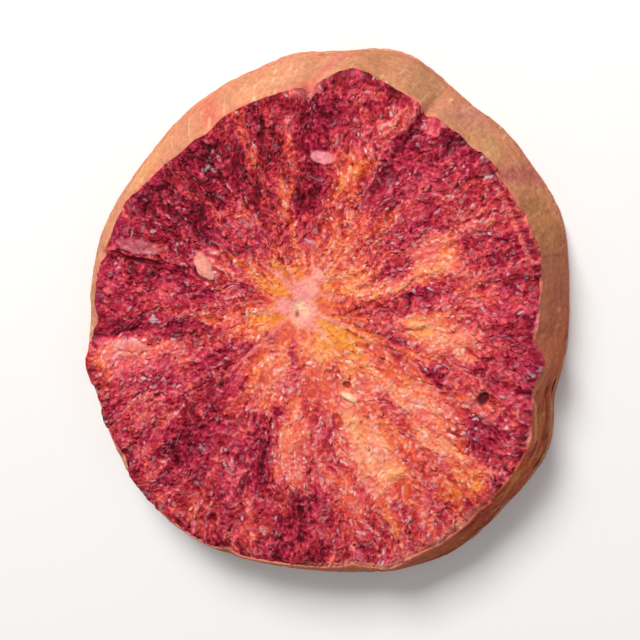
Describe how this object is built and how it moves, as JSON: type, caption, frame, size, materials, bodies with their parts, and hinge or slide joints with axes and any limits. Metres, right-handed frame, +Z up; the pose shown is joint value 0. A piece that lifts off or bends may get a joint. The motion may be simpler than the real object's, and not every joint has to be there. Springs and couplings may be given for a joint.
{
  "type": "freeze-dried blood orange slice",
  "caption": "Thick round slice of peeled, freeze-dried blood orange: rough ruby flesh with segments spreading from a pale pith, and a sloping tan side wall.",
  "frame": {"origin": "middle of the outline at the height of the surface the slice lies on", "axes": "+Z up through the thickness, towards the smaller cut face; +X and +Y lie across the face, with the outline a little longer along Y"},
  "size_m": [0.061, 0.0666, 0.0081],
  "materials": {
    "dried_flesh": "dry matt fruit flesh, ruby and burgundy with orange streaks, with a tan membrane round the side"
  },
  "bodies": {
    "root": {"orange_slice": "dried_flesh"}
  },
  "joints": []
}
